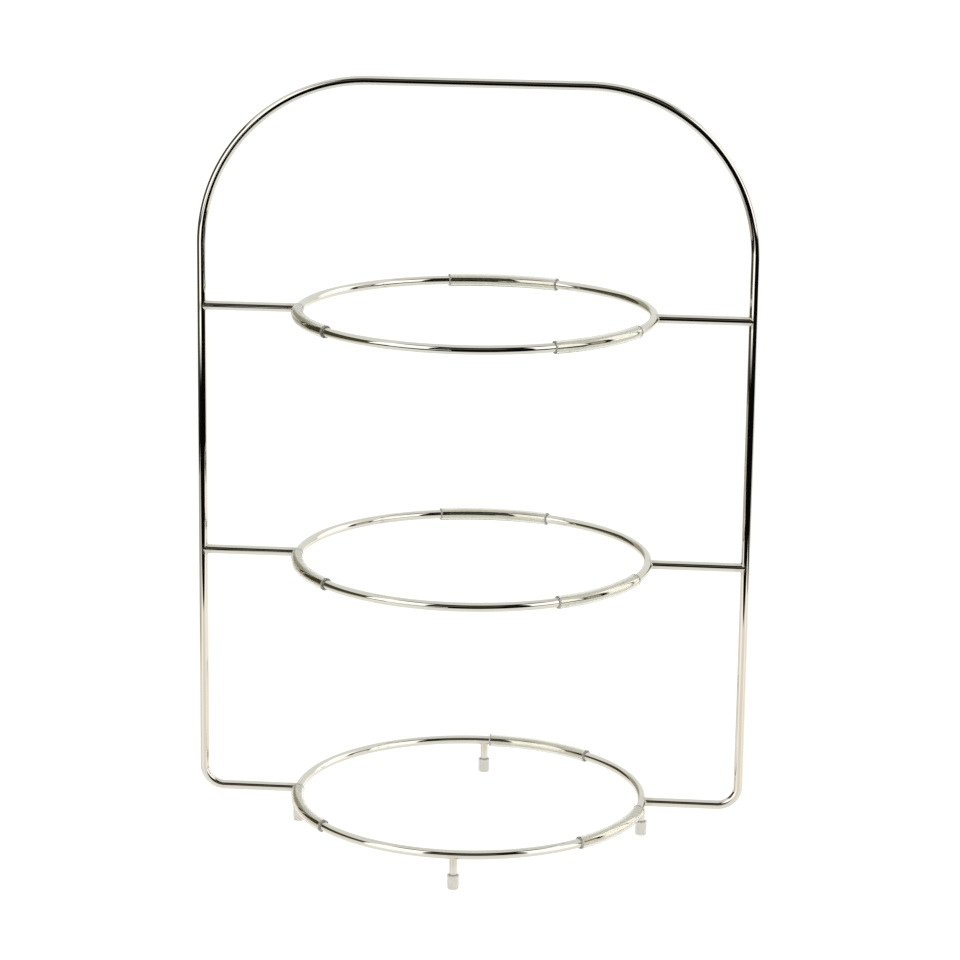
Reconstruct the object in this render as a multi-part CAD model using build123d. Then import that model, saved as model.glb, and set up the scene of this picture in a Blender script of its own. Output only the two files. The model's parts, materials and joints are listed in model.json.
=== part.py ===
from build123d import *
from math import asin, degrees
import os

# A three-tier wire plate stand: an arched frame of bent wire, three plate rings, four capped legs
# and nine clear anti-slip sleeves.
#
# Millimetres, +Z up. The origin is at table level on the common axis of the three rings. The
# arched frame stands in the XZ plane, and the front of the stand faces -Y.

# --- driving dimensions -------------------------------------------------------------------------
WIRE_D = 5.0                # plated steel wire of the frame, the rings and the stubs
RING_R = 97.5               # centre line of each ring
TIER_PITCH = 139.0          # from one ring up to the next
LOWER_RING_Z = 19.5         # centre line of the lowest ring above the table
FRAME_HALF_WIDTH = 151.5    # centre line of each upright from the rings' axis
ARCH_RISE = 404.0           # centre line of the handle above the lowest ring
ARCH_BEND_R = 92.0          # the two wide bends of the handle, at the centre line
FOOT_BEND_R = 11.5          # the two tight bends where the uprights turn in to the lowest ring

LEG_D = 4.2                 # thinner wire of the legs
CAP_D = 6.6                 # soft vinyl foot cap
CAP_H = 8.0
CAP_FLOOR = 1.5             # vinyl left under the end of the leg
CAP_BOTTOM_EDGE = 1.0       # rounding of the cap's lower edge
CAP_TOP_EDGE = 0.4          # rounding of the cap's mouth

SLEEVE_D = 7.0              # clear tubing, outside
SLEEVE_PLAY = 0.05          # radial room between the tubing and the ring's wire
SLEEVE_LENGTH = 64.0        # along the ring's centre line
SLEEVE_SLIT = 0.8           # lengthwise cut that lets the tubing clip on from above

WELD_RISE = 0.5             # how far a weld's fillet stands above its wire
WELD_RUN = 0.9              # how far the fillet runs out along its wire
WELD_BITE = 1.5             # how deep the weld reaches in past the near side of the other wire
SLEEVE_STOP_GAP = 0.3       # between a sleeve pushed up to a weld and the weld

# --- worked out ---------------------------------------------------------------------------------
WIRE_R = WIRE_D / 2
LEG_R = LEG_D / 2
RING_Z = {
    "lower": LOWER_RING_Z,
    "middle": LOWER_RING_Z + TIER_PITCH,
    "upper": LOWER_RING_Z + 2 * TIER_PITCH,
}
ARCH_Z = LOWER_RING_Z + ARCH_RISE
SIDES = {"left": -1, "right": 1}
UPRIGHT_CUT = 4 * WIRE_D         # length of upright that shapes the end of a stub
SLEEVE_SPAN = degrees(SLEEVE_LENGTH / RING_R)
WELD_END = WIRE_R - WELD_BITE    # where a welded wire ends, out from the other wire's centre line
SLEEVE_STOP = degrees(asin((WIRE_R + WELD_RISE + SLEEVE_STOP_GAP) / (RING_R + WELD_END)))

# Middle of each sleeve, counter-clockwise from +X seen from above. They slide, so no two tiers
# match. The lower back sleeve rests against the back leg, and the lower left one against the arm.
SLEEVE_ANGLE = {
    "upper": {"back": 85.4, "left": 201.5, "right": 318.7},
    "middle": {"back": 87.4, "left": 202.0, "right": 321.5},
    "lower": {
        "back": 90 - SLEEVE_STOP - SLEEVE_SPAN / 2,
        "left": 180 + SLEEVE_STOP + SLEEVE_SPAN / 2,
        "right": 331.9,
    },
}
LEG_ANGLE = {"right": 0, "back": 90, "left": 180, "front": 270}


def ring(height):
    """One plate ring: round wire bent to a closed circle."""
    return Pos(0, 0, height) * Torus(RING_R, WIRE_R)


def weld_fillet(start, direction, wire_r):
    """The weld on the end of a wire of radius wire_r that starts at start and runs along direction.

    A collar as deep as the weld's bite, then a concave fillet that dies out on the wire.
    """
    top = wire_r + WELD_RISE
    fillet_r = (WELD_RUN**2 + WELD_RISE**2) / (2 * WELD_RISE)
    edge = RadiusArc((top, WELD_BITE), (wire_r, WELD_BITE + WELD_RUN), fillet_r)
    outline = edge + Polyline(
        (wire_r, WELD_BITE + WELD_RUN), (0, WELD_BITE + WELD_RUN), (0, 0), (top, 0), (top, WELD_BITE)
    )
    profile = Plane.XZ * make_face(outline)
    return Plane(origin=start, z_dir=direction) * revolve(profile, axis=Axis.Z)


def welded_stub(side, height):
    """A straight stub from an upright to a ring, coped to both wires."""
    inner = side * (RING_R + WELD_END)
    outer = side * (FRAME_HALF_WIDTH - WELD_END)
    wire = Pos((inner + outer) / 2, 0, height) * Rot(0, 90, 0) * Cylinder(WIRE_R, abs(outer - inner))
    wire += weld_fillet((inner, 0, height), (side, 0, 0), WIRE_R)
    wire += weld_fillet((outer, 0, height), (-side, 0, 0), WIRE_R)
    upright = Pos(side * FRAME_HALF_WIDTH, 0, height) * Cylinder(WIRE_R, UPRIGHT_CUT)
    return wire - upright - ring(height)


def frame_wire():
    """The arch, uprights and arms: one wire bent four times, its ends coped to the lowest ring."""
    z = LOWER_RING_Z
    arm_end = RING_R + WELD_END
    path = FilletPolyline(
        (-arm_end, 0, z),
        (-FRAME_HALF_WIDTH, 0, z),
        (-FRAME_HALF_WIDTH, 0, ARCH_Z),
        (FRAME_HALF_WIDTH, 0, ARCH_Z),
        (FRAME_HALF_WIDTH, 0, z),
        (arm_end, 0, z),
        radius=[FOOT_BEND_R, ARCH_BEND_R, ARCH_BEND_R, FOOT_BEND_R],
    )
    section = Plane(origin=path @ 0, z_dir=path % 0) * Circle(WIRE_R)
    wire = sweep(section, path=path)
    for side in SIDES.values():
        wire += weld_fillet((side * arm_end, 0, z), (side, 0, 0), WIRE_R)
    return wire - ring(z)


def leg(angle, arms):
    """A leg from inside its foot cap up to the lowest ring, coped to the ring and to the arms."""
    top = LOWER_RING_Z - WELD_END
    pin = Pos(0, 0, (CAP_FLOOR + top) / 2) * Cylinder(LEG_R, top - CAP_FLOOR)
    pin += weld_fillet((0, 0, top), (0, 0, -1), LEG_R)
    return Rot(0, 0, angle) * Pos(RING_R, 0, 0) * pin - ring(LOWER_RING_Z) - arms


def foot_cap(angle):
    """A soft cap pushed on the end of a leg, with a flat sole and a rounded lower edge."""
    cap = Pos(0, 0, CAP_H / 2) * Cylinder(CAP_D / 2, CAP_H)
    cap = fillet(cap.edges().group_by(Axis.Z)[0], CAP_BOTTOM_EDGE)
    cap = fillet(cap.edges().group_by(Axis.Z)[-1], CAP_TOP_EDGE)
    cap -= Pos(0, 0, CAP_FLOOR + CAP_H / 2) * Cylinder(LEG_R, CAP_H)
    return Rot(0, 0, angle) * Pos(RING_R, 0, 0) * cap


def sleeve(middle_angle, height):
    """A length of clear tubing round the ring's wire, slit along its underside."""
    slit = Pos(0, -SLEEVE_D / 2) * Rectangle(SLEEVE_SLIT, SLEEVE_D)
    section = Circle(SLEEVE_D / 2) - Circle(WIRE_R + SLEEVE_PLAY) - slit
    profile = Plane.XZ * Pos(RING_R, 0) * section
    tube = revolve(profile, axis=Axis.Z, revolution_arc=SLEEVE_SPAN)
    return Pos(0, 0, height) * Rot(0, 0, middle_angle - SLEEVE_SPAN / 2) * tube


def build_nodes():
    """Every sub-part by node name, where it stands in the assembled object."""
    nodes = {"frame_wire": frame_wire()}
    for tier, height in RING_Z.items():
        nodes[f"ring_{tier}"] = ring(height)
        for place, angle in SLEEVE_ANGLE[tier].items():
            nodes[f"sleeve_{tier}_{place}"] = sleeve(angle, height)
        if tier != "lower":
            for name, side in SIDES.items():
                nodes[f"stub_{tier}_{name}"] = welded_stub(side, height)
    for place, angle in LEG_ANGLE.items():
        nodes[f"leg_{place}"] = leg(angle, nodes["frame_wire"])
        nodes[f"foot_cap_{place}"] = foot_cap(angle)
    return nodes


os.makedirs("parts", exist_ok=True)
for node, shape in build_nodes().items():
    export_step(shape, f"parts/{node}.step")
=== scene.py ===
import json
from math import atan2, cos, pi, radians, sin, sqrt

import bmesh
import bpy
from mathutils import Matrix, Vector

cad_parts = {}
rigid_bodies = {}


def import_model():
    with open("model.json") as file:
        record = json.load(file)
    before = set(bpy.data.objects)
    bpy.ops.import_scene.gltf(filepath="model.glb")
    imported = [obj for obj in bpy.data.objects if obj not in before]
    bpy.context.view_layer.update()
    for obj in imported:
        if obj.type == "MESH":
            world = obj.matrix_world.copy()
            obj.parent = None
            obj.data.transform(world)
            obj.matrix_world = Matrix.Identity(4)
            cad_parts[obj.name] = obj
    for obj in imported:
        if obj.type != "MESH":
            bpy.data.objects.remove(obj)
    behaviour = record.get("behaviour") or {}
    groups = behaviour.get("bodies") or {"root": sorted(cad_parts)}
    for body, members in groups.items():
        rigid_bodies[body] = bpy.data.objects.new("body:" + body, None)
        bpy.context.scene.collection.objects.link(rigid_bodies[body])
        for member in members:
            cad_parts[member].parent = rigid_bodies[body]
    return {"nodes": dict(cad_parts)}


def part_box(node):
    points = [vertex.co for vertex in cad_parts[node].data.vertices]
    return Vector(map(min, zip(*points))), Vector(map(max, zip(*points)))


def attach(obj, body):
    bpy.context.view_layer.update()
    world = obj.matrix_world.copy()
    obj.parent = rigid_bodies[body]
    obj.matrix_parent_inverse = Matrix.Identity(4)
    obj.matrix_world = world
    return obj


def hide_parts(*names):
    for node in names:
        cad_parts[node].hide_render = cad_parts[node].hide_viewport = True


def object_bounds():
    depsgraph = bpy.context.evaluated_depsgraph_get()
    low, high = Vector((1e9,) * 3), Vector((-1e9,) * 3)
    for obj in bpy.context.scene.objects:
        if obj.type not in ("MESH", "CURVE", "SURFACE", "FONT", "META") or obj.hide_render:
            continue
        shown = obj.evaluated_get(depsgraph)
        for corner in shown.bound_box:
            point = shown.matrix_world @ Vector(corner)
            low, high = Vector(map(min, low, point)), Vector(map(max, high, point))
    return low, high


# A three-tier wire plate stand, in metres, in the CAD model's frame. Every visible piece is built
# here as a finely divided mesh and stands for one CAD node, so that the bright plating reflects the
# studio without facets.

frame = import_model()
cad_low, cad_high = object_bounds()

# --- sizes of the wires and their welds, as in the CAD model -------------------------------------
MM = 0.001
WIRE_R = 2.5 * MM
LEG_R = 2.1 * MM
ARCH_BEND_R = 92 * MM
FOOT_BEND_R = 11.5 * MM
WELD_RISE = 0.5 * MM             # how far a weld's fillet stands above its wire
WELD_RUN = 0.9 * MM              # how far it runs out along its wire
WELD_SINK = 0.3 * MM             # how far a welded end goes on inside the other wire
LEG_WELD_LEAST = 0.2             # share of that rise where the ring curves away from a leg

# (inset, height above the end) down the rounded lower end of a leg, which its cap hides
LEG_TIP = ((0, 0.3 * MM), (0.1 * MM, 0.1 * MM), (0.3 * MM, 0))

# --- places, read from the frame -----------------------------------------------------------------
TIERS = ("upper", "middle", "lower")
STUB_TIERS = ("upper", "middle")
SLEEVE_PLACES = ("back", "left", "right")
SIDES = {"left": -1, "right": 1}
PLACE_ANGLE = {"right": 0, "back": 90, "left": 180, "front": 270}
RING_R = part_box("ring_lower")[1].x - WIRE_R
RING_Z = {tier: sum(corner.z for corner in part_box(f"ring_{tier}")) / 2 for tier in TIERS}
UPRIGHT_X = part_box("frame_wire")[1].x - WIRE_R
ARCH_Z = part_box("frame_wire")[1].z - WIRE_R
BODY_OF = {name: node.parent.name.removeprefix("body:") for name, node in frame["nodes"].items()}

# --- fineness of the meshes ----------------------------------------------------------------------
WIRE_SIDES = 48
RING_STATIONS = 240
ARCH_STEPS = 60
FOOT_STEPS = 24
FILLET_STEPS = 8
CAP_EDGE_STEPS = 6
CUT_EDGE_STEPS = 3               # in each rounded edge of a sleeve
SLEEVE_ROUND_STEPS = 64          # along the wall, round the wire
SLEEVE_STEPS = 64                # along the ring
SHARP_ANGLE = radians(50)        # edges that turn more than this look sharp


# --- mesh work -----------------------------------------------------------------------------------
def skin(name, rows, closed=False):
    """A smooth mesh through rows of points, each row a closed loop. Open ends are capped."""
    mesh = bmesh.new()
    loops = [[mesh.verts.new(point) for point in row] for row in rows]
    pairs = list(zip(loops, loops[1:]))
    if closed:
        pairs.append((loops[-1], loops[0]))
    for near, far in pairs:
        for i in range(len(near)):
            j = (i + 1) % len(near)
            mesh.faces.new((near[i], near[j], far[j], far[i]))
    if not closed:
        mesh.faces.new(reversed(loops[0]))
        mesh.faces.new(loops[-1])
    bmesh.ops.recalc_face_normals(mesh, faces=mesh.faces)
    data = bpy.data.meshes.new(name)
    mesh.to_mesh(data)
    mesh.free()
    data.shade_smooth()
    data.set_sharp_from_angle(angle=SHARP_ANGLE)
    piece = bpy.data.objects.new(name, data)
    bpy.context.scene.collection.objects.link(piece)
    return piece


def turns(count):
    """Evenly spaced angles round a full turn."""
    return [2 * pi * i / count for i in range(count)]


def polar(angle, radius, height):
    """A point at that angle and radius round the rings' axis."""
    return Vector((radius * cos(angle), radius * sin(angle), height))


# --- wires and their welds -----------------------------------------------------------------------
def fillet_profile():
    """(distance out along the wire, share of the full rise) down a weld's concave fillet."""
    angles = [pi / 2 * i / FILLET_STEPS for i in range(FILLET_STEPS + 1)]
    return [(WELD_RUN * (1 - cos(angle)), 1 - sin(angle)) for angle in angles]


def welded_end(wire_r, surface, place, widens):
    """Rows of points down a weld, from inside the other wire out to the plain wire.

    surface(a, b) is how far out the other wire's surface lies at that offset from this wire's
    axis, place(a, b, s) turns the offset and the distance out into a point, and widens(angle) is
    the share of the fillet's rise in that direction.
    """
    rows = []
    for run, rise in [(-WELD_SINK, 1.0)] + fillet_profile():
        row = []
        for angle in turns(WIRE_SIDES):
            radius = wire_r + WELD_RISE * rise * widens(angle)
            a, b = radius * cos(angle), radius * sin(angle)
            row.append(place(a, b, surface(a, b) + run))
        rows.append(row)
    return rows


def end_on_ring(side, height):
    """The rows of a level wire's end welded to the outside of a ring, out from the ring."""
    def surface(a, b):
        ring_edge = RING_R + sqrt(max(WIRE_R**2 - b**2, 0))
        return sqrt(ring_edge**2 - a**2)

    def place(a, b, s):
        return Vector((side * s, a, height + b))

    return welded_end(WIRE_R, surface, place, lambda angle: cos(angle)**2)


def end_on_upright(side, height):
    """The rows of a level wire's end welded to the inside of an upright, out from the upright."""
    def surface(a, _b):
        return sqrt(max(WIRE_R**2 - a**2, 0))

    def place(a, b, s):
        return Vector((side * (UPRIGHT_X - s), a, height + b))

    return welded_end(WIRE_R, surface, place, lambda angle: sin(angle)**2)


def frame_bends():
    """The four bends, left to right: centre x and z, radius, start and end angle, and steps."""
    foot_x, foot_z = UPRIGHT_X - FOOT_BEND_R, RING_Z["lower"] + FOOT_BEND_R
    arch_x, arch_z = UPRIGHT_X - ARCH_BEND_R, ARCH_Z - ARCH_BEND_R
    return [
        (-foot_x, foot_z, FOOT_BEND_R, 270, 180, FOOT_STEPS),
        (-arch_x, arch_z, ARCH_BEND_R, 180, 90, ARCH_STEPS),
        (arch_x, arch_z, ARCH_BEND_R, 90, 0, ARCH_STEPS),
        (foot_x, foot_z, FOOT_BEND_R, 0, -90, FOOT_STEPS),
    ]


def bend_rows(centre_x, centre_z, radius, start, end, steps):
    """Rows of points round the wire along one bend of the frame."""
    rows = []
    for i in range(steps + 1):
        along = radians(start + (end - start) * i / steps)
        outward = Vector((cos(along), 0, sin(along)))
        centre = Vector((centre_x, 0, centre_z)) + radius * outward
        # Each row starts at the back, +Y, and turns towards the bend's inside, as on the arms' ends.
        rows.append([centre + WIRE_R * (cos(angle) * Vector((0, 1, 0)) - sin(angle) * outward)
                     for angle in turns(WIRE_SIDES)])
    return rows


def frame_wire():
    """The arch, uprights and arms: one wire, its two ends welded to the lowest ring."""
    rows = end_on_ring(-1, RING_Z["lower"])
    for bend in frame_bends():
        rows += bend_rows(*bend)
    rows += reversed(end_on_ring(1, RING_Z["lower"]))
    return skin("frame_wire_plated", rows)


def welded_stub(tier, name, side):
    """A straight stub from a ring out to an upright."""
    rows = end_on_ring(side, RING_Z[tier])
    rows += reversed(end_on_upright(side, RING_Z[tier]))
    return skin(f"stub_{tier}_{name}_plated", rows)


def ring(tier):
    """One plate ring: round wire bent to a closed circle."""
    rows = []
    for along in turns(RING_STATIONS):
        rows.append([polar(along, RING_R + WIRE_R * cos(angle), RING_Z[tier] + WIRE_R * sin(angle))
                     for angle in turns(WIRE_SIDES)])
    return skin(f"ring_{tier}_plated", rows, closed=True)


def leg(name):
    """A leg from inside its foot cap up to the underside of the lowest ring."""
    outward = polar(radians(PLACE_ANGLE[name]), 1, 0)
    along_ring = Vector((-outward.y, outward.x, 0))
    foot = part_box(f"leg_{name}")[0].z

    def surface(a, b):
        offset = (RING_R * outward + a * outward + b * along_ring).length - RING_R
        return sqrt(max(WIRE_R**2 - offset**2, 0))

    def place(a, b, s):
        level = RING_Z["lower"] - s
        return Vector((0, 0, level)) + (RING_R + a) * outward + b * along_ring

    def widens(angle):
        return LEG_WELD_LEAST + (1 - LEG_WELD_LEAST) * sin(angle)**2

    rows = welded_end(LEG_R, surface, place, widens)
    for inset, rise in LEG_TIP:
        depth = RING_Z["lower"] - foot - rise
        rows.append([place((LEG_R - inset) * cos(angle), (LEG_R - inset) * sin(angle), depth)
                     for angle in turns(WIRE_SIDES)])
    return skin(f"leg_{name}_plated", rows)


# --- foot caps -----------------------------------------------------------------------------------
CAP_SOLE_EDGE = 1.0 * MM         # rounding of the lower edge
CAP_LIP = 0.1 * MM               # how far the mouth stands out beyond the cap's wall
CAP_LIP_HEIGHT = 1.1 * MM
CAP_MOUTH_EDGE = 0.3 * MM        # rounding of the mouth
CAP_PLAY = 0.03 * MM             # between the leg and the bore, where nothing shows
CAP_FLOOR = 1.45 * MM            # vinyl under the bore, which ends just below the leg


def arc(centre_r, centre_z, radius, start, end):
    """(radius, height) points along an arc of a turned profile."""
    angles = [radians(start + (end - start) * i / CAP_EDGE_STEPS) for i in range(CAP_EDGE_STEPS + 1)]
    return [(centre_r + radius * cos(angle), centre_z + radius * sin(angle)) for angle in angles]


def cap_profile(lip_r, height):
    """(radius, height) points of a cap's section, from its sole up its outside and down its bore."""
    wall_r = lip_r - CAP_LIP
    bore_r = LEG_R + CAP_PLAY
    mouth_z = height - CAP_MOUTH_EDGE
    profile = arc(wall_r - CAP_SOLE_EDGE, CAP_SOLE_EDGE, CAP_SOLE_EDGE, -90, 0)
    profile += [(wall_r, height - CAP_LIP_HEIGHT), (lip_r, height - CAP_LIP_HEIGHT + 2 * CAP_LIP)]
    profile += arc(lip_r - CAP_MOUTH_EDGE, mouth_z, CAP_MOUTH_EDGE, 0, 90)
    profile += arc(bore_r + CAP_MOUTH_EDGE, mouth_z, CAP_MOUTH_EDGE, 90, 180)
    profile += [(bore_r, CAP_FLOOR)]
    return profile


def foot_cap(name):
    """A soft cap on the end of a leg: flat sole, rounded lower edge, slight lip round the mouth."""
    low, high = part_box(f"foot_cap_{name}")
    centre = (low + high) / 2
    lip_r = max(high.x - centre.x, high.y - centre.y)
    rows = [[Vector((centre.x + r * cos(angle), centre.y + r * sin(angle), low.z + z))
             for angle in turns(WIRE_SIDES)] for r, z in cap_profile(lip_r, high.z - low.z)]
    return skin(f"foot_cap_{name}_vinyl", rows)


# --- clear sleeves -------------------------------------------------------------------------------
SLEEVE_R = 3.5 * MM
SLEEVE_BORE_R = 2.55 * MM
SLEEVE_SLIT = 0.8 * MM
CUT_EDGE = 0.12 * MM             # rounding of the cut edges
CUT_MARK = "cut_end"             # the mesh attribute that the tubing's material reads


def cut_edge_angles(start):
    """The angles, in radians, through a quarter turn of a rounded cut edge from start in degrees."""
    return [radians(start + 90 * i / CUT_EDGE_STEPS) for i in range(CUT_EDGE_STEPS + 1)]


def rounded_bar(length, thickness, edge, long_steps):
    """(along, across) points of a bar's outline, its corners rounded, starting on the outside."""
    points = []
    run = length - 2 * edge
    for side, face, turn in ((1, 1, 0), (-1, 1, 90), (-1, -1, 180), (1, -1, 270)):
        along, across = side * (length / 2 - edge), face * (thickness / 2 - edge)
        points += [(along + edge * cos(angle), across + edge * sin(angle))
                   for angle in cut_edge_angles(turn)]
        if side == face:
            points += [(side * (run / 2 - run * i / long_steps), face * thickness / 2)
                       for i in range(1, long_steps)]
    return points


def sleeve_section(inset):
    """(out from the ring's centre line, up) points of the slit wall, drawn in by inset all round."""
    middle_r = (SLEEVE_R + SLEEVE_BORE_R) / 2
    length = 2 * pi * middle_r - SLEEVE_SLIT - 2 * inset
    thickness = SLEEVE_R - SLEEVE_BORE_R - 2 * inset
    points = []
    for along, across in rounded_bar(length, thickness, CUT_EDGE, SLEEVE_ROUND_STEPS):
        angle = pi / 2 + along / middle_r
        points.append(((middle_r + across) * cos(angle), (middle_r + across) * sin(angle)))
    return points


def arc_of(node):
    """The angles round the rings' axis at which a sleeve's node starts and ends."""
    low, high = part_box(node)
    middle = (low + high) / 2
    towards = atan2(middle.y, middle.x)
    offsets = []
    for vertex in frame["nodes"][node].data.vertices:
        offset = atan2(vertex.co.y, vertex.co.x) - towards
        offsets.append((offset + pi) % (2 * pi) - pi)
    return towards + min(offsets), towards + max(offsets)


def sleeve_stations(start, end):
    """(angle round the rings' axis, inset of the wall) along a sleeve, with both ends rounded."""
    turn = CUT_EDGE / RING_R
    rounding = [(turn * (1 - cos(angle)), CUT_EDGE * (1 - sin(angle))) for angle in cut_edge_angles(0)]
    span = end - start - 2 * turn
    stations = [(start + back, inset) for back, inset in rounding]
    stations += [(start + turn + span * i / SLEEVE_STEPS, 0) for i in range(1, SLEEVE_STEPS)]
    stations += [(end - back, inset) for back, inset in reversed(rounding)]
    return stations


def mark_cut_ends(data, row_length):
    """Stores 1 at the points of the two rounded ends. Every other point keeps 0."""
    marks = data.attributes.new(CUT_MARK, "FLOAT", "POINT").data
    last = len(marks) - 1
    for i in range((CUT_EDGE_STEPS + 1) * row_length):
        marks[i].value = 1.0
        marks[last - i].value = 1.0


def sleeve(tier, name):
    """A length of clear tubing clipped over the ring, slit along its underside."""
    rows = [[polar(along, RING_R + out, RING_Z[tier] + up) for out, up in sleeve_section(inset)]
            for along, inset in sleeve_stations(*arc_of(f"sleeve_{tier}_{name}"))]
    tube = skin(f"sleeve_{tier}_{name}_clear", rows)
    mark_cut_ends(tube.data, len(rows[0]))
    return tube


# --- material nodes ------------------------------------------------------------------------------
MIX_FACTOR, MIX_FIRST, MIX_SECOND = 0, 6, 7      # a mix node's inputs when it mixes colours
MIX_RESULT = 2                                   # and its output
WARM_GREEN = 0.35                # share of a light's warmth that its green loses, where blue loses all


class Nodes:
    """A node tree that is written down as calls: each call adds one node and gives its output."""

    def __init__(self, tree):
        self.tree = tree
        self.tree.nodes.clear()

    def add(self, kind, inputs=(), output=0, **settings):
        """One node. An input that is another node's output is linked, and any other value is set."""
        node = self.tree.nodes.new(kind)
        for name, value in settings.items():
            setattr(node, name, value)
        for socket, value in dict(inputs).items():
            if isinstance(value, bpy.types.NodeSocket):
                self.tree.links.new(value, node.inputs[socket])
            else:
                node.inputs[socket].default_value = value
        return node.outputs[output] if len(node.outputs) else node

    def math(self, operation, *values):
        """The result of a math node's operation on those values."""
        return self.add("ShaderNodeMath", enumerate(values), operation=operation)

    def split(self, vector):
        """The x, y and z of a vector."""
        return self.add("ShaderNodeSeparateXYZ", {"Vector": vector}).node.outputs

    def between(self, value, low, high, to_low=0.0, to_high=1.0):
        """Smoothly from to_low where value is under low to to_high where it is over high."""
        inputs = {"Value": value, "From Min": low, "From Max": high, "To Min": to_low, "To Max": to_high}
        return self.add("ShaderNodeMapRange", inputs, interpolation_type="SMOOTHSTEP")

    def noise(self, where, scale, detail):
        """Smooth noise between 0 and 1, mostly near 0.5."""
        return self.add("ShaderNodeTexNoise", {"Vector": where, "Scale": scale, "Detail": detail})

    def mix(self, factor, first, second):
        """A colour that goes from first to second as factor goes from 0 to 1."""
        inputs = {MIX_FACTOR: factor, MIX_FIRST: first, MIX_SECOND: second}
        return self.add("ShaderNodeMix", inputs, output=MIX_RESULT, data_type="RGBA")


def new_material(name):
    """An empty node material and its tree."""
    material = bpy.data.materials.new(name)
    material.use_nodes = True
    return material, Nodes(material.node_tree)


def grey(level, warmth=0.0):
    """A light colour as linear RGBA, yellower with warmth."""
    return (level, level * (1 - WARM_GREEN * warmth), level * (1 - warmth), 1.0)


# --- looks of the materials ----------------------------------------------------------------------
BUMP_DEPTH = 0.02 * MM
PLASTIC_IOR = 1.5

PLATING_LIGHT = (0.77, 0.755, 0.71, 1.0)
PLATING_WARM = (0.73, 0.71, 0.66, 1.0)
PLATING_HEATED = (0.62, 0.58, 0.50, 1.0)
PLATING_CLOUDS = (45.0, 3.0)     # scale, per metre, and detail of the noise for the cloudy haze
PLATING_GRAIN = (2600.0, 2.0)    # and for the fine grain
HAZE_START, HAZE_FULL = 0.35, 0.7                # noise levels where the haze starts and is full
HAZE_LEAST, HAZE_MOST = 0.012, 0.03              # roughness of the plating outside and inside it
HEAT_REACH = 6 * MM              # how far out from a weld its heat dulled the plating
HEAT_CORE = 0.4                  # share of that reach where it is dulled fully
HEAT_TINT = 0.5                  # how far its colour goes to the heated one there
HEAT_ROUGHNESS = 0.12            # added there
RIPPLE_BUMP = 0.25               # strength of the slow ripple that goes with the clouds
GRAIN_BUMP = 0.04                # and of the grain
HEATED_GRAIN_BUMP = 0.5          # added to it at the welds

TUBING_CLEAR = (0.94, 0.94, 0.915, 1.0)
TUBING_CLOUDY = (0.87, 0.87, 0.82, 1.0)
TUBING_CLOUDS = (90.0, 2.0)
TUBING_DULL_START, TUBING_DULL_FULL = 0.3, 0.7   # noise levels, as for the plating
TUBING_SMOOTH, TUBING_DULL = 0.02, 0.07          # roughness outside and inside the clouds
TUBING_BUMP = 0.2
CUT_ROUGHNESS = 0.5              # added on the cut ends
CUT_MILKINESS = 0.4              # share of the light that the cut ends don't let through

VINYL = (0.97, 0.955, 0.92, 1.0)
# the colour of the darker specks near the sole
VINYL_DARKER_LOW = (0.70, 0.68, 0.63, 1.0)
VINYL_SPECKS = (900.0, 3.0)
LOW_SPECKS_HEIGHT = 1.6 * MM          # how far up from the sole the darker specks reach
VINYL_ROUGHNESS = 0.3
LOW_SPECKS_ROUGHNESS = 0.3            # added where it is darker in specks
VINYL_BUMP = 0.05
VINYL_CLEARNESS = 0.25           # share of the light that goes in and through


def near_welds(nodes, where, welds):
    """1 at the welds, falling to 0 at the heat's reach from the nearest."""
    nearest = None
    for weld in welds:
        inputs = {0: where, 1: weld}
        distance = nodes.add("ShaderNodeVectorMath", inputs, output="Value", operation="DISTANCE")
        nearest = distance if nearest is None else nodes.math("MINIMUM", nearest, distance)
    return nodes.between(nearest, HEAT_CORE * HEAT_REACH, HEAT_REACH, 1.0, 0.0)


def plated(name, welds):
    """Bright plated steel: slightly warm, faintly hazy, and duller where a weld heated it."""
    material, nodes = new_material(name)
    where = nodes.add("ShaderNodeTexCoord", output="Object")
    cloud = nodes.noise(where, *PLATING_CLOUDS)
    grain = nodes.noise(where, *PLATING_GRAIN)
    heat = near_welds(nodes, where, welds)
    colour = nodes.mix(cloud, PLATING_LIGHT, PLATING_WARM)
    colour = nodes.mix(nodes.math("MULTIPLY", heat, HEAT_TINT), colour, PLATING_HEATED)
    haze = nodes.between(cloud, HAZE_START, HAZE_FULL, HAZE_LEAST, HAZE_MOST)
    roughness = nodes.math("ADD", haze, nodes.math("MULTIPLY", heat, HEAT_ROUGHNESS))
    ripple = nodes.add("ShaderNodeBump", {"Strength": RIPPLE_BUMP, "Distance": BUMP_DEPTH, "Height": cloud})
    grain_bump = nodes.math("MULTIPLY_ADD", heat, HEATED_GRAIN_BUMP, GRAIN_BUMP)
    inputs = {"Strength": grain_bump, "Distance": BUMP_DEPTH, "Height": grain, "Normal": ripple}
    rough_skin = nodes.add("ShaderNodeBump", inputs)
    inputs = {"Base Color": colour, "Metallic": 1.0, "Roughness": roughness, "Normal": rough_skin}
    surface = nodes.add("ShaderNodeBsdfPrincipled", inputs)
    nodes.add("ShaderNodeOutputMaterial", {"Surface": surface})
    return material


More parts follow.
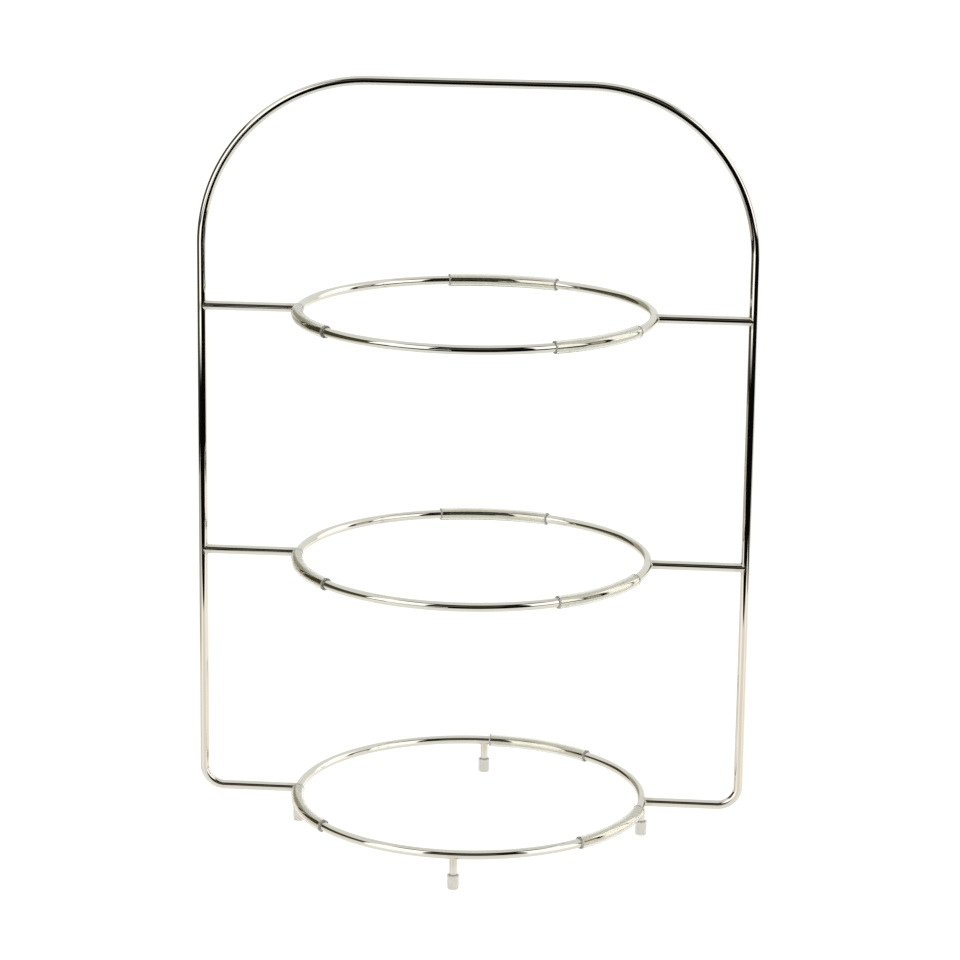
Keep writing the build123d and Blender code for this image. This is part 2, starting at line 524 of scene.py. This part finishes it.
def clear_tubing():
    """Clear soft tubing: glossy, a touch warm and cloudy, milky on its cut ends."""
    material, nodes = new_material("clear_tubing")
    where = nodes.add("ShaderNodeTexCoord", output="Object")
    cloud = nodes.noise(where, *TUBING_CLOUDS)
    cut = nodes.add("ShaderNodeAttribute", output="Fac", attribute_name=CUT_MARK)
    colour = nodes.mix(cloud, TUBING_CLEAR, TUBING_CLOUDY)
    gloss = nodes.between(cloud, TUBING_DULL_START, TUBING_DULL_FULL, TUBING_SMOOTH, TUBING_DULL)
    roughness = nodes.math("MULTIPLY_ADD", cut, CUT_ROUGHNESS, gloss)
    clearness = nodes.math("MULTIPLY_ADD", cut, -CUT_MILKINESS, 1.0)
    waves = nodes.add("ShaderNodeBump", {"Strength": TUBING_BUMP, "Distance": BUMP_DEPTH, "Height": cloud})
    inputs = {"Base Color": colour, "Roughness": roughness, "Normal": waves,
              "IOR": PLASTIC_IOR, "Transmission Weight": clearness}
    surface = nodes.add("ShaderNodeBsdfPrincipled", inputs)
    nodes.add("ShaderNodeOutputMaterial", {"Surface": surface})
    return material


def foot_vinyl():
    """Translucent soft vinyl: milky, glossy, and darker and rougher in specks towards the sole."""
    material, nodes = new_material("foot_vinyl")
    where = nodes.add("ShaderNodeTexCoord", output="Object")
    _x, _y, height = nodes.split(where)
    specks = nodes.noise(where, *VINYL_SPECKS)
    # darker and rougher in specks towards the sole
    low_specks = nodes.math("MULTIPLY", nodes.between(height, 0.0, LOW_SPECKS_HEIGHT, 1.0, 0.0), specks)
    colour = nodes.mix(low_specks, VINYL, VINYL_DARKER_LOW)
    roughness = nodes.math("MULTIPLY_ADD", low_specks, LOW_SPECKS_ROUGHNESS, VINYL_ROUGHNESS)
    dimples = nodes.add("ShaderNodeBump", {"Strength": VINYL_BUMP, "Distance": BUMP_DEPTH, "Height": specks})
    inputs = {"Base Color": colour, "Roughness": roughness, "Normal": dimples,
              "IOR": PLASTIC_IOR, "Transmission Weight": VINYL_CLEARNESS}
    surface = nodes.add("ShaderNodeBsdfPrincipled", inputs)
    nodes.add("ShaderNodeOutputMaterial", {"Surface": surface})
    return material


# --- the pieces ----------------------------------------------------------------------------------
RING_OUTSIDE = RING_R + WIRE_R
UPRIGHT_INSIDE = UPRIGHT_X - WIRE_R


def finish_piece(piece, node, material):
    """Gives a piece its material and ties it to the CAD node that it stands for."""
    piece.data.materials.append(material)
    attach(piece, BODY_OF[node])
    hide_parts(node)


def side_welds(tier, distance):
    """The welds on both sides of a tier, at that distance from the rings' axis."""
    return [Vector((side * distance, 0, RING_Z[tier])) for side in SIDES.values()]


def leg_weld(name):
    """Where a leg is welded to the underside of the lowest ring."""
    return polar(radians(PLACE_ANGLE[name]), RING_R, RING_Z["lower"] - WIRE_R)


def build_frame_wire():
    """The frame wire, welded to the four stubs and, at its two ends, to the lowest ring."""
    welds = side_welds("lower", RING_OUTSIDE)
    for tier in STUB_TIERS:
        welds += side_welds(tier, UPRIGHT_INSIDE)
    finish_piece(frame_wire(), "frame_wire", plated("plated_frame", welds))


def build_rings():
    """The three rings. The lowest is welded to the legs too."""
    for tier in TIERS:
        welds = side_welds(tier, RING_OUTSIDE)
        if tier == "lower":
            welds += [leg_weld(name) for name in PLACE_ANGLE]
        finish_piece(ring(tier), f"ring_{tier}", plated(f"plated_ring_{tier}", welds))


def build_stubs():
    """The four stubs, welded at both ends."""
    for tier in STUB_TIERS:
        for name, side in SIDES.items():
            node = f"stub_{tier}_{name}"
            welds = [Vector((side * end, 0, RING_Z[tier])) for end in (UPRIGHT_INSIDE, RING_OUTSIDE)]
            finish_piece(welded_stub(tier, name, side), node, plated(f"plated_{node}", welds))


def build_legs():
    """The four legs, each welded to the lowest ring."""
    for name in PLACE_ANGLE:
        node = f"leg_{name}"
        finish_piece(leg(name), node, plated(f"plated_{node}", [leg_weld(name)]))


def build_foot_caps():
    """The four foot caps."""
    vinyl = foot_vinyl()
    for name in PLACE_ANGLE:
        finish_piece(foot_cap(name), f"foot_cap_{name}", vinyl)


def build_sleeves():
    """The nine sleeves."""
    clear = clear_tubing()
    for tier in TIERS:
        for name in SLEEVE_PLACES:
            finish_piece(sleeve(tier, name), f"sleeve_{tier}_{name}", clear)


build_frame_wire()
build_rings()
build_stubs()
build_legs()
build_foot_caps()
build_sleeves()


# --- studio --------------------------------------------------------------------------------------
FLOOR_REACH = 15.0
FLOOR_DROP = 0.05 * MM           # keeps the floor clear of the caps' soles
FLOOR_PAINT = grey(0.35)
FLOOR_GLOW = 0.84

TABLE_FRONT = -0.43              # middle of the soft front edge
TABLE_SOFTNESS = 0.04            # depth over which that edge darkens
TABLE_BACK = 2.0
TABLE_LEFT = -0.95
TABLE_RIGHT = 0.64
TABLE_SHADE_START = -0.38        # across the table, where the cupboard's shade starts
TABLE_SHADE_FULL = -0.52
TABLE_SHEEN_STEEP = (0.93, 0.93, 0.88, 1.0)            # painted sheen: the table's glow as it looks from above
TABLE_SHEEN_SHALLOW = (0.90, 0.85, 0.77, 1.0)          # and from low down, where the painted sheen turns it beiger
STEEP_FACING, SHALLOW_FACING = 0.35, 0.7         # how far aside it faces where one painted sheen tone turns into the other
TABLE_SHADED = (0.50, 0.48, 0.40, 1.0)           # where the cupboard shades it
TABLE_GLOSS = 0.06               # roughness of its polish
TABLE_IOR = 1.5

WHITE = grey(1.0)
BLACK = grey(0.003)
ROOM_DARK = grey(0.012, 0.3)
ROOM_PALE = (0.86, 0.87, 0.82, 1.0)
ROOM_OLIVE = (0.07, 0.065, 0.03, 1.0)
ROOM_DIM_OLIVE = (0.40, 0.38, 0.29, 1.0)
ROOM_EDGE = (0.60, 0.55, 0.46, 1.0)
ROOM_SHELF = grey(0.15, 0.3)
SOFT_BOX = grey(1.5, 0.03)
AZIMUTH_LIMIT = 180
ELEVATION_LIMIT = 90

# The room as the bright wire sees it, over ROOM_DARK: azimuth 0 is the front, 90 is +X. Each zone is
# an azimuth range, an elevation range, how softly it ends, in degrees, and its light. Later zones
# lie over earlier ones.
ROOM_ZONES = [
    ((-180, 180), (63, 90), 8, ROOM_PALE),                   # ceiling
    ((-180, 180), (-90, -9), 2, BLACK),                      # dark floor beyond the table
    ((98, 180), (-90, 62), 4, ROOM_PALE),                    # light walls behind
    ((-180, -132), (-90, 62), 4, ROOM_PALE),
    ((-134, -64), (32, 90), 8, ROOM_PALE),                   # light walls over the side openings
    ((76, 100), (22, 90), 8, ROOM_PALE),
    ((-160, -128), (-12, 26), 12, ROOM_DIM_OLIVE),           # wooden cupboard on the left
    ((-134, -64), (-13, 32), 2, ROOM_OLIVE),
    ((80, 92), (-9, 14), 2, ROOM_EDGE),                      # edge of a cupboard on the right
    ((80, 98), (-90, -17), 2, ROOM_PALE),                    # light floor at its foot
    ((-30, 80), (-90, 12), 4, BLACK),                        # darkness under the camera
    ((-20, 24), (19, 33), 8, ROOM_SHELF),                    # shelf above the camera
    ((-64, -24), (-3, 50), 3, SOFT_BOX),                     # left soft box and its lower panel
    ((-50, -10), (-12, -6), 1, SOFT_BOX),
    ((42, 78), (-2, 48), 3, SOFT_BOX),                       # right soft box
    ((100, 135), (-12, 40), 4, SOFT_BOX),                    # window on the right
]


def flat_sheet(name, left, right, front, back, height, material):
    """A level rectangle, left to right in x and front to back in y, that isn't part of the object."""
    mesh = bpy.data.meshes.new(name)
    corners = [(left, front, height), (right, front, height), (right, back, height), (left, back, height)]
    mesh.from_pydata(corners, [], [(0, 1, 2, 3)])
    mesh.materials.append(material)
    sheet = bpy.data.objects.new(name, mesh)
    bpy.context.scene.collection.objects.link(sheet)
    return sheet


def floor():
    """A plain pale floor, lit so high that only the feet's own shade can show on it."""
    material, nodes = new_material("pale_floor")
    lit = nodes.add("ShaderNodeBsdfDiffuse", {"Color": FLOOR_PAINT})
    glow = nodes.add("ShaderNodeEmission", {"Color": WHITE, "Strength": FLOOR_GLOW})
    both = nodes.add("ShaderNodeAddShader", {0: lit, 1: glow})
    nodes.add("ShaderNodeOutputMaterial", {"Surface": both})
    reach = FLOOR_REACH
    sheet = flat_sheet("floor", -reach, reach, -reach, reach, -FLOOR_DROP, material)
    sheet.visible_glossy = False
    sheet.visible_diffuse = False
    sheet.visible_shadow = False
    sheet.visible_transmission = False


def table():
    """The light table that the wire mirrors, in place of the floor that the camera sees. Its glow has a
    painted sheen that turns beiger where it is seen from low down.
    """
    material, nodes = new_material("light_table")
    where = nodes.add("ShaderNodeTexCoord", output="Object")
    across, depth, _height = nodes.split(where)
    near_edge = TABLE_FRONT - TABLE_SOFTNESS / 2
    light = nodes.between(depth, near_edge, near_edge + TABLE_SOFTNESS)
    # painted sheen: the glow's tone changes with how steeply the table is seen
    shallow = nodes.add("ShaderNodeLayerWeight", output="Facing")
    tone = nodes.mix(nodes.between(shallow, STEEP_FACING, SHALLOW_FACING), TABLE_SHEEN_STEEP, TABLE_SHEEN_SHALLOW)
    tone = nodes.mix(nodes.between(across, TABLE_SHADE_FULL, TABLE_SHADE_START), TABLE_SHADED, tone)
    glow = nodes.add("ShaderNodeEmission", {"Color": tone, "Strength": light})
    polish = nodes.math("MULTIPLY", nodes.add("ShaderNodeFresnel", {"IOR": TABLE_IOR}), light)
    mirror = nodes.add("ShaderNodeBsdfGlossy", {"Color": polish, "Roughness": TABLE_GLOSS})
    both = nodes.add("ShaderNodeAddShader", {0: glow, 1: mirror})
    nodes.add("ShaderNodeOutputMaterial", {"Surface": both})
    sheet = flat_sheet("table", TABLE_LEFT, TABLE_RIGHT, near_edge, TABLE_BACK, -2 * FLOOR_DROP, material)
    sheet.visible_camera = False


def range_steps(nodes, value, start, end, limit, soft):
    """The soft steps in and out of a range. A range that runs to the limit has no step there."""
    steps = []
    if abs(start) < limit:
        steps.append(nodes.between(value, start - soft / 2, start + soft / 2))
    if abs(end) < limit:
        steps.append(nodes.between(value, end - soft / 2, end + soft / 2, 1.0, 0.0))
    return steps


def room():
    """Light from all round: white to the camera, and a plain studio to everything else."""
    world = bpy.data.worlds.new("studio")
    world.use_nodes = True
    bpy.context.scene.world = world
    nodes = Nodes(world.node_tree)
    x, y, z = nodes.split(nodes.add("ShaderNodeTexCoord", output="Generated"))
    azimuth = nodes.math("DEGREES", nodes.math("ARCTAN2", x, nodes.math("MULTIPLY", y, -1.0)))
    elevation = nodes.math("DEGREES", nodes.math("ARCSINE", z))
    colour = ROOM_DARK
    for azimuths, elevations, soft, light in ROOM_ZONES:
        steps = range_steps(nodes, azimuth, *azimuths, AZIMUTH_LIMIT, soft)
        steps += range_steps(nodes, elevation, *elevations, ELEVATION_LIMIT, soft)
        inside = steps[0]
        for step in steps[1:]:
            inside = nodes.math("MULTIPLY", inside, step)
        colour = nodes.mix(inside, colour, light)
    seen = nodes.add("ShaderNodeLightPath", output="Is Camera Ray")
    colour = nodes.mix(seen, colour, WHITE)
    background = nodes.add("ShaderNodeBackground", {"Color": colour, "Strength": 1.0})
    nodes.add("ShaderNodeOutputWorld", {"Surface": background})


# --- camera --------------------------------------------------------------------------------------
CAMERA_DISTANCE = 1.8635
CAMERA_AZIMUTH = radians(4.787)
CAMERA_ELEVATION = radians(14.147)
CAMERA_ROLL = radians(0.788)
CAMERA_LENS = 126.2              # mm
CAMERA_SENSOR = 36.0             # mm wide
AIM_OFFSET = Vector((3.5 * MM, 0, -9.5 * MM))    # from the middle of the object's box


def add_camera():
    """The camera at the photograph's viewing angle. It aims at a point in the frame wire's plane."""
    aim = (cad_low + cad_high) / 2 + AIM_OFFSET
    aim.y = 0
    back = Vector((sin(CAMERA_AZIMUTH) * cos(CAMERA_ELEVATION),
                   -cos(CAMERA_AZIMUTH) * cos(CAMERA_ELEVATION), sin(CAMERA_ELEVATION)))
    data = bpy.data.cameras.new("camera")
    data.sensor_width = CAMERA_SENSOR
    data.lens = CAMERA_LENS
    camera = bpy.data.objects.new("camera", data)
    bpy.context.scene.collection.objects.link(camera)
    turn = back.to_track_quat("Z", "Y").to_matrix().to_4x4()
    roll = Matrix.Rotation(CAMERA_ROLL, 4, "Z")
    camera.matrix_world = Matrix.Translation(aim + CAMERA_DISTANCE * back) @ turn @ roll
    bpy.context.scene.camera = camera


floor()
table()
room()
add_camera()
bpy.context.scene.view_settings.view_transform = "Standard"
